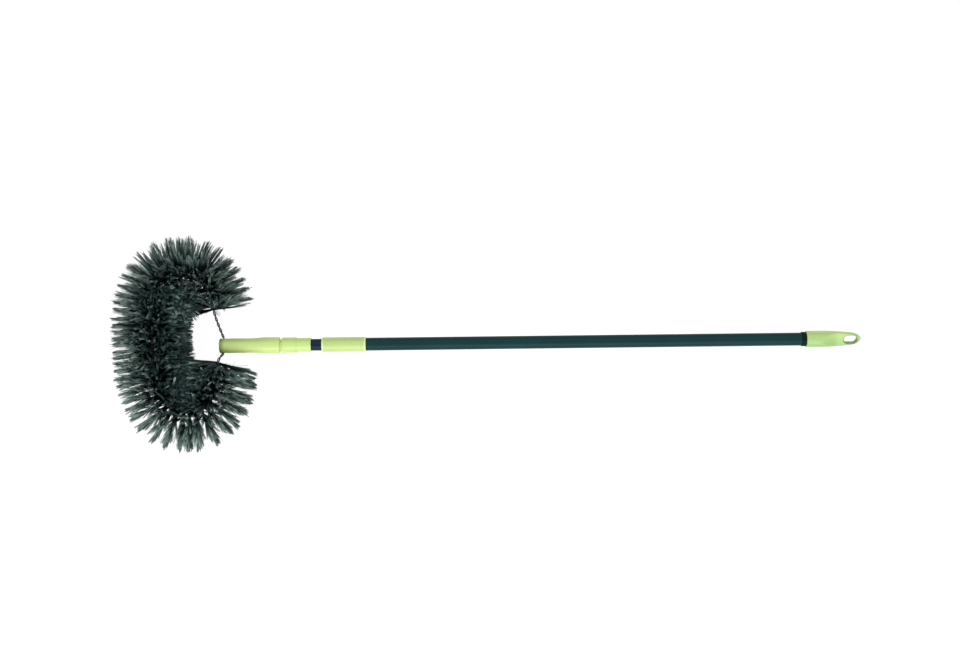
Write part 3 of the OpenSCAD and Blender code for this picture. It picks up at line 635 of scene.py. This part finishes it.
def bristle_section(number):
    """One eighth of the bristles. A filament's middle at distance r from the core is core + r d + (r r / length) lean
    + spread (a t + b w), where d is the bunch's direction, t lies along the core, w square to both, and (a, b) is the
    filament's place in its bunch. An outer end points at core(aim) + length out(aim). Near the arms both ends tilt
    along the core by tilt times exp(-distance / fade). The inner ends are longer by exp(-(angle from the corner /
    width) squared) times the corner's reach. The lean is random: small for the rays in the loop's plane, and larger
    for the ends that stand up from it or point inward. The painted light and shade, near 1 for a pale tip, grows with
    the distance from the middle of the ray for outer ends, so the middles of the rays are painted dark, and is a power
    of chance for the others, which stand up or point inward into the mass's shade, so few of those are painted pale."""
    pitch = (BRISTLE_TO - BRISTLE_FROM) / BUNCHES
    per_section = BUNCHES // SECTIONS
    s = BRISTLE_FROM + pitch * (np.arange(per_section) + (number - 1) * per_section + 0.5)
    t, out = core_frame(s)
    aim = aim_of(s)
    tilt = UPPER_TILT * np.exp(-(s - BRISTLE_FROM)[:, None] / UPPER_FADE) \
        + LOWER_TILT * np.exp(-(BRISTLE_TO - s)[:, None] / LOWER_FADE)
    outer = (core_at(aim) - core_at(s)) / BRISTLE_L + core_frame(aim)[1] + tilt[:, :1] * t
    inner, upright = out + tilt[:, 1:] * t, out + tilt[:, :1] * t
    turn = (2 * math.pi * s / LAY + math.pi / 2)[:, None] + [0, math.pi] \
        + np.radians(rng.normal(0, TURN_SPREAD, (len(s), 2)))
    inward = np.cos(turn)[..., None] < 0
    stands = np.sin(turn) ** 2
    outer_or_upright = outer[:, None] + stands[..., None] * (upright - outer)[:, None]
    flat = np.where(inward, inner[:, None], outer_or_upright)
    flat /= np.linalg.norm(flat, axis=-1, keepdims=True)
    d = np.cos(turn)[..., None] * flat + np.sin(turn)[..., None] * UP
    t = np.broadcast_to(t[:, None], d.shape)
    w = np.cross(d, t)
    w /= np.linalg.norm(w, axis=-1, keepdims=True)
    reach = BRISTLE_L * np.minimum(rng.normal(REACH_MEAN, REACH_SPREAD, turn.shape), REACH_MOST)
    slant = np.abs(np.arctan2(out[:, 1], -out[:, 0]))
    at_corner = CORNER_REACH * np.exp(-((slant - CORNER_AT) / CORNER_WIDTH) ** 2)
    at_start = START_LONGER * np.exp(-(s - BRISTLE_FROM) / START_FADE)
    reach *= 1 + np.where(inward[..., 0], at_corner[:, None], at_start[:, None])
    splay = SPLAY_FLAT + SPLAY_UP * stands + SPLAY_IN * inward[..., 0] * (1 - stands)
    lean = rng.normal(0, 1, (*turn.shape, 2)) * splay[..., None]
    for edge, inside in ((s - BRISTLE_FROM < END_MARGIN, 1), (BRISTLE_TO - s < END_MARGIN, -1)):
        lean[edge, :, 0] = inside * np.abs(lean[edge, :, 0])
    k = np.arange(PER_BUNCH)
    disc = np.stack([np.cos(k * GOLDEN_ANGLE), np.sin(k * GOLDEN_ANGLE)], -1) * np.sqrt((k + 0.5) / PER_BUNCH)[:, None]
    each = (*turn.shape, PER_BUNCH)
    place = disc + rng.normal(0, PLACE_SPREAD, (*each, 2))
    stray = rng.normal(0, STRAY, (*each, 2)) * rng.choice(STRAY_SIZES, (*each, 1), p=STRAY_SHARES)
    stray *= 1 + stands[..., None, None]
    taper = np.where(inward, INNER_TAPER, np.interp(s - BRISTLE_FROM, *TAPER)[:, None, None])
    own = reach[..., None] * (1 - taper * rng.uniform(0, 1, each) ** 1.5)
    u = np.linspace(0, 1, RINGS)
    r = own[..., None] * u
    spread = BUNCH_R * (1 - TIP_CLOSER * u + SIDE_WIDER * u * np.abs(np.sin(2 * turn))[..., None, None])
    side = (r**2 / BRISTLE_L)[..., None] * lean[:, :, None, None] + spread[..., None] * place[..., None, :] \
        + (u**2)[:, None] * stray[..., None, :]
    middle = (core_at(s)[:, None, None, None] + r[..., None] * d[:, :, None, None]
              + side[..., :1] * t[:, :, None, None] + side[..., 1:] * w[:, :, None, None])
    corner = np.radians([90, 210, 330])[:, None]
    points = middle[..., None, :] + THICKNESS * (np.sin(corner) * t[:, :, None, None, None]
                                                 + np.cos(corner) * w[:, :, None, None, None])
    points[..., 2] = np.clip(points[..., 2], -LEVEL, LEVEL)
    # Painted light and shade on the tips: outer ends pale beside their ray, upright and inward ends mostly dark, as in
    # the mass's shade.
    outward = np.clip(np.cos(turn), 0, 1)
    chance = rng.uniform(0, 1, turn.shape)
    beside = np.abs(s / (LAY / 2) % 1 - 0.5)[:, None] * LAY / 2
    ray_shade = np.minimum(beside / RAY_HALF, 1) * (LEAST_PALE + (1 - LEAST_PALE) * chance)
    other_shade = chance**np.where(inward[..., 0], INNER_POWER, OTHER_POWER)
    painted_light_shade = outward * ray_shade + (1 - outward) * other_shade
    painted_light_shade = np.clip(painted_light_shade[..., None] + rng.normal(0, SHADE_SPREAD, each), 0, 1)
    return points.reshape(-1, RINGS * SIDES, 3), painted_light_shade.reshape(-1)


print(BUNCHES // SECTIONS, "bunches in each section")

# %% [markdown]
# The arrays of one section become one mesh, with the two attributes that the fibre's material reads.

# %% Bristle meshes
def filament_mesh(name, points, painted_light_shade):
    """Rods of rings of three points: each square between two rings is a face, and a triangle closes each end. The
    attribute along runs from 0 at the core to 1 at the tip, and painted_light_shade says how pale the filament's tip is
    painted, as painted light or painted shade."""
    base = (np.arange(len(points)) * RINGS * SIDES)[:, None, None]
    walls = (base + grid_faces(RINGS, SIDES)).reshape(-1, 4)
    ends = (base + np.array([[2, 1, 0], [RINGS * SIDES - 3, RINGS * SIDES - 2, RINGS * SIDES - 1]])).reshape(-1, 3)
    piece = make_mesh(name, points.reshape(-1, 3), [walls, ends], sharp_angle=None)
    for field, values in (("along", np.tile(np.repeat(np.linspace(0, 1, RINGS), SIDES), len(points))),
                          ("painted_light_shade", np.repeat(painted_light_shade, RINGS * SIDES))):
        attribute = piece.data.attributes.new(field, "FLOAT", "POINT")
        attribute.data.foreach_set("value", values.astype(np.float32))
    return piece


for number in range(1, SECTIONS + 1):
    piece = filament_mesh(f"bristle_bunches_{number}", *bristle_section(number))
    finish_piece(piece, "brush_head", "bristle_fibre", bristle_fibre, f"bristles_{number}")

# %% [markdown]
# ## Cutting one solid with another
# A Boolean modifier takes one closed solid away from another. It is applied at once and leaves a plain mesh.

# %% Cutting helpers
def smooth_step(u):
    """0 up to 0, 1 from 1, and u u (3 - 2 u) between them."""
    u = np.clip(u, 0, 1)
    return u * u * (3 - 2 * u)


def cut(piece, cutter):
    """Takes one closed solid away from another, and removes the cutter."""
    modifier = piece.modifiers.new("cut", "BOOLEAN")
    modifier.operation, modifier.solver, modifier.object = "DIFFERENCE", "EXACT", cutter
    bpy.context.view_layer.update()
    mesh = bpy.data.meshes.new_from_object(piece.evaluated_get(bpy.context.evaluated_depsgraph_get()))
    piece.modifiers.clear()
    piece.data = mesh
    bpy.data.objects.remove(cutter)
    mesh.polygons.foreach_set("use_smooth", np.ones(len(mesh.polygons), bool))
    mesh.set_sharp_from_angle(angle=math.radians(40))
    return piece


def prism(name, outline, low, high):
    """A flat outline in XY, anticlockwise, given a height from low to high."""
    outline = np.asarray(outline, float)
    n = len(outline)
    points = np.concatenate([np.c_[outline, np.full(n, low)], np.c_[outline, np.full(n, high)]])
    j = np.arange(n)
    walls = np.stack([j, (j + 1) % n, n + (j + 1) % n, n + j], -1)
    return make_mesh(name, points, [walls, j[::-1][None], (n + j)[None]])


print("cutting helpers ready")

# %% [markdown]
# ## The brush socket
# A moulded ferrule: a wide open end, an S-shaped curve down to a slim neck, and a nose from which the wires leave
# on both sides. The outside is a turned outline. The channels of the wires cannot be part of it, so they are cut.

# %% Socket
flare = np.linspace(0, 1, 25)
flare_x = SOCKET_X - WIDE_L - FLARE_L * (1 - flare)
flare_r = NECK_D / 2 + (SOCKET_D - NECK_D) / 2 * smooth_step(flare)
nose = rounded([(SOCKET_X, THREAD_D / 2, 0.0), (SOCKET_X, SOCKET_D / 2, 1.4), (NOSE_X, SOCKET_D / 2, 0.0)])[1:-1]
front = rounded([(SOCKET_X, NECK_D / 2, 0.0), (NOSE_X, NECK_D / 2, 1.0), (NOSE_X, 0.001, 0.0)])[1:-1]
MOUTH_BEVEL = 0.9
bore_r = THREAD_D / 2 + THREAD_GAP
skin = np.concatenate([[[THREAD_X - 2, bore_r], [SOCKET_X - MOUTH_BEVEL, bore_r],
                        [SOCKET_X, THREAD_D / 2 + MOUTH_BEVEL]], nose[:-1],
                       np.stack([flare_x, flare_r], -1)[::-1], front])
socket = turned("brush_socket_moulded", skin[::-1], closed=False)

CHANNEL = (BARE_GAP + 4 * WIRE_R) / 2 + WIRE_GAP
for side, turn in ((1, EXIT_UP), (-1, EXIT_DOWN)):
    half = CHANNEL + SLOT_ROOM
    a = np.linspace(0, turn, 13)
    centre = np.array([BEND_X, STEM_Y + STEM_BEND])
    rim = np.stack([-np.sin(a), -np.cos(a)], -1)
    way_out = NECK_D * 0.6 * np.array([-math.cos(turn), math.sin(turn)])
    wide, tight = centre + rim * (STEM_BEND + half), centre + rim * (STEM_BEND - half)
    outline = np.concatenate([[[BEND_X + 1, STEM_Y - half]], wide, [wide[-1] + way_out, tight[-1] + way_out],
                              tight[::-1], [[BEND_X + 1, STEM_Y + half]]])
    outline = outline[::-1] if side > 0 else outline * FLIP
    cut(socket, prism("channel", outline, -half, half))
    stem = turned("stem_bore", [[STEM_END, CHANNEL], [BEND_X, CHANNEL]][::-1], around=48, closed=False)
    stem.data.transform(Matrix.Translation((0, side * STEM_Y * MM, 0)))
    cut(socket, stem)
finish_piece(socket, "brush_head", "socket_plastic", ferrule_lime, "brush_socket")

# %% [markdown]
# ## The hanging cap
# The cap is round where it meets the tube and flattens to a tab for the hanging eye. At each station along the
# pole the section is a circle cut by two parallel planes, softened where they meet: the distance to the surface in
# direction a is the smooth minimum of the circle's radius and the plane's distance divided by the cosine of the
# angle to the tab's normal.

# %% Hanging cap
TAB_RAMP, SPIGOT_R, SPIGOT_BORE_R, NO_PLANE, SOFTNESS = 34, 10.0, 8.0, 40.0, 14.0


def cap_radius(x):
    """A cylinder, a taper with the power 1.5 to the waist, and a nose as the root of 1 - w to the 1.7."""
    taper, nose_at = CAP_X + CAP_STRAIGHT, CAP_TIP - CAP_NOSE
    u = np.clip((x - taper) / (nose_at - taper), 0, 1)
    w = np.clip((x - nose_at) / CAP_NOSE, 0, 1)
    return (CAP_D - (CAP_D - CAP_WAIST_D) * u**1.5) / 2 * np.sqrt(np.maximum(0, 1 - w**1.7))


def tab_half(x):
    """Half the thickness square to the tab: more than the radius at the round end, then a smooth step down."""
    u = smooth_step((x - CAP_X - CAP_STRAIGHT * 0.7) / TAB_RAMP)
    w = np.clip((x - CAP_TIP + CAP_NOSE / 2) / (CAP_NOSE / 2), 0, 1)
    return (CAP_D / 2 + 1) * (1 - u) + TAB_T / 2 * u * (1 - 0.35 * w**2)


nose_angle = np.linspace(0, math.pi / 2, 30)[1:-1]
cap_x = np.concatenate([np.linspace(CAP_X + 1.2, CAP_TIP - CAP_NOSE, 60),
                        CAP_TIP - CAP_NOSE * (1 - np.sin(nose_angle)), [CAP_TIP - 0.004]])
rim = rounded([(CAP_X, 9.0, 0.0), (CAP_X, CAP_D / 2, 1.0), (CAP_X + 9, CAP_D / 2, 0.0)])[1:-1]
spigot_x = CAP_X - SPIGOT_L
spigot = np.array([[CAP_X - 6, SPIGOT_BORE_R], [spigot_x, SPIGOT_BORE_R], [spigot_x, SPIGOT_R - 0.6],
                   [spigot_x + 1, SPIGOT_R], [CAP_X, SPIGOT_R]])
cap_outline = np.concatenate([spigot, rim[:-1], np.stack([cap_x, cap_radius(cap_x)], -1)])
turn = np.linspace(0, 2 * math.pi, 160, endpoint=False)
x, r = cap_outline[:, 0, None], cap_outline[:, 1, None]
plane = np.where(x > CAP_X + 1, tab_half(x), NO_PLANE) / np.maximum(np.abs(np.sin(turn - TAB_ROLL)), 1e-3)
section = (r**-SOFTNESS + plane**-SOFTNESS) ** (-1 / SOFTNESS)
cap = skinned("end_cap_moulded", np.stack([x + 0 * turn, section * np.cos(turn), section * np.sin(turn)], -1),
              closed=False)
print("cap of", len(cap.data.vertices), "points before the eye is cut")

# %% [markdown]
# The eye is cut through the tab with a slot-shaped cutter that widens at both mouths.

# %% Hanging eye
def eye_cutter():
    """A slot's outline, swept along its own axis: at height h it stands out by the bevel times (1 - cos) of the share
    of the bevel's depth that h has passed, so the mouth is rounded like a trumpet's."""
    half = (EYE_L - EYE_W) / 2
    a = np.linspace(0, 2 * math.pi, 96, endpoint=False)
    ray = np.stack([np.cos(a), np.sin(a)], -1)
    shift = np.where(np.cos(a) > 0, half, -half)
    h = np.concatenate([np.linspace(0, 1, 12), [1.6]])
    flare = EYE_BEVEL * np.where(h <= 1, 1 - np.sqrt(np.maximum(0, 1 - h**2)), 1 + (h - 1) * 2)
    height = TAB_T / 2 - EYE_BEVEL + h * EYE_BEVEL * 1.05
    height, flare = np.concatenate([-height[::-1], height]), np.concatenate([flare[::-1], flare])
    size = EYE_W / 2 + flare[:, None]
    flat = np.stack([shift + size * ray[:, 0], size * ray[:, 1], height[:, None] + 0 * a], -1)
    cosine, sine = math.cos(TAB_ROLL), math.sin(TAB_ROLL)
    roll = np.array([[1, 0, 0], [0, cosine, sine], [0, -sine, cosine]])
    return skinned("eye_cutter", flat @ roll, closed=False)


cut(cap, eye_cutter())
finish_piece(cap, "handle", "cap_plastic", cap_lime, "end_cap")

# %% [markdown]
# ## Pieces inside
# The lock plug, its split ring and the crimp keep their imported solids, because their shapes are right. They show
# only when the pole is taken apart, and still get the material that each is made of.

# %% Lock and crimp
def clouded(name, shader_values, size, detail, low, high):
    """A material with clouds of that size in metres between two close tones."""
    material, tree, shader, place = new_material(name, shader_values)
    cloud = add_node(tree, "ShaderNodeTexNoise", {"Scale": 1 / size, "Detail": detail}, {"Vector": place})
    tree.links.new(two_tones(tree, cloud.outputs["Fac"], low, high).outputs["Color"], shader.inputs["Base Color"])
    return material


natural_nylon = clouded("natural_nylon_moulded", {"Roughness": 0.35, "IOR": 1.53}, 0.01, 2.0, "#dddacb", "#ece9dc")
grey_nylon = clouded("grey_nylon_moulded", {"Roughness": 0.5, "IOR": 1.53}, 0.006, 3.0, "#2c3133", "#3e4447")
zinc = clouded("zinc_plated_steel_pressed", {"Metallic": 1.0, "Roughness": 0.33}, 0.003, 4.0, "#8f969a", "#b3b9bc")
for name, material in (("lock_plug", natural_nylon), ("lock_ring", grey_nylon), ("wire_crimp", zinc)):
    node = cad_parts[name]
    node.data.materials.clear()
    node.data.materials.append(material)
    print(name, "keeps its solid, in", material.name)

# %% [markdown]
# ## Floor
# The brush lies on a pale floor: the head rests on its lowest bristles and the cap on its side, so the floor leans
# by about three degrees against the pole. It reads as plain white to the camera, and keeps a faint shadow.

# %% Floor
def seen_directly(tree):
    """1 for a ray from the camera, a mirror or a clear piece, and 0 for one that only carries light."""
    ray = add_node(tree, "ShaderNodeLightPath").outputs
    seen = add_node(tree, "ShaderNodeMath", {"operation": "MAXIMUM"},
                    {0: ray["Is Camera Ray"], 1: ray["Is Glossy Ray"]})
    return add_node(tree, "ShaderNodeMath", {"operation": "MAXIMUM"},
                    {0: seen.outputs[0], 1: ray["Is Transmission Ray"]}).outputs[0]


HEAD_LOW, CAP_LOW = (-1.13, -0.0695), (-0.05, -0.0143)
FLOOR_GLOW = 0.97
slope = (CAP_LOW[1] - HEAD_LOW[1]) / (CAP_LOW[0] - HEAD_LOW[0])
corner_x, corner_y = np.array([-4500.0, 3500.0, 3500.0, -4500.0]), np.array([-4000.0, -4000.0, 4000.0, 4000.0])
corner_z = HEAD_LOW[1] / MM + slope * (corner_x - HEAD_LOW[0] / MM)
floor = make_mesh("floor", np.stack([corner_x, corner_y, corner_z], -1), [np.array([[0, 1, 2, 3]])])
floor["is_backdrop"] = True
floor_white = bpy.data.materials.new("white_floor")
floor_white.use_nodes = True
tree = floor_white.node_tree
tree.nodes.clear()
seen = seen_directly(tree)
matt = add_node(tree, "ShaderNodeBsdfDiffuse", {"Color": (0.8, 0.8, 0.8, 1)})
faint = add_node(tree, "ShaderNodeBsdfDiffuse", {"Color": (0.15, 0.15, 0.15, 1)})
glow = add_node(tree, "ShaderNodeEmission", {"Color": (1, 1, 1, 1), "Strength": FLOOR_GLOW})
shown = add_node(tree, "ShaderNodeAddShader", links={0: faint.outputs[0], 1: glow.outputs[0]})
mixed = add_node(tree, "ShaderNodeMixShader", links={0: seen, 1: matt.outputs[0], 2: shown.outputs[0]})
add_node(tree, "ShaderNodeOutputMaterial", links={"Surface": mixed.outputs[0]})
floor.data.materials.append(floor_white)
print("floor leans by", round(math.degrees(math.atan(slope)), 2), "degrees")

# %% [markdown]
# ## Light
# Two long soft lamps light the tubes' edges, the stronger one from the near side, and the pale surroundings do the
# rest, at 0.55 of the strength that the camera sees.

# %% Surroundings and lamps
DIM = 0.55
world = bpy.data.worlds.new("pale_surroundings")
world.use_nodes = True
tree = world.node_tree
tree.nodes.clear()
seen = seen_directly(tree)
level = add_node(tree, "ShaderNodeMapRange", {"To Min": DIM, "To Max": 1.0}, {"Value": seen})
background = add_node(tree, "ShaderNodeBackground", {"Color": (1, 1, 1, 1)}, {"Strength": level.outputs["Result"]})
add_node(tree, "ShaderNodeOutputWorld", links={"Surface": background.outputs[0]})
bpy.context.scene.world = world


def soft_lamp(name, place, aim, size, power):
    """A square lamp of that size in metres and power in watts, turned to look at aim."""
    lamp = bpy.data.lights.new(name, "AREA")
    lamp.shape, lamp.size, lamp.size_y, lamp.energy = "RECTANGLE", *size, power
    holder = bpy.data.objects.new(name, lamp)
    holder.location = place
    holder.rotation_euler = (Vector(aim) - Vector(place)).to_track_quat("-Z", "Y").to_euler()
    bpy.context.scene.collection.objects.link(holder)


soft_lamp("near_side_lamp", (-0.6, -1.9, 1.5), (-0.6, 0, 0), (2.6, 0.8), 45.0)
soft_lamp("far_side_lamp", (-0.6, 1.6, 1.9), (-0.6, 0, 0), (2.6, 0.8), 14.0)
print("two lamps")

# %% [markdown]
# ## The two boxes
# The boxes of the imported brush and of the dressed one are both printed, in millimetres.

# %% Finish
visual_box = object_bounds()
for label, (low, high) in (("packed", cad_box), ("dressed", visual_box)):
    print(label, "box in mm:", [round(v / MM, 1) for v in (*low, *high)])
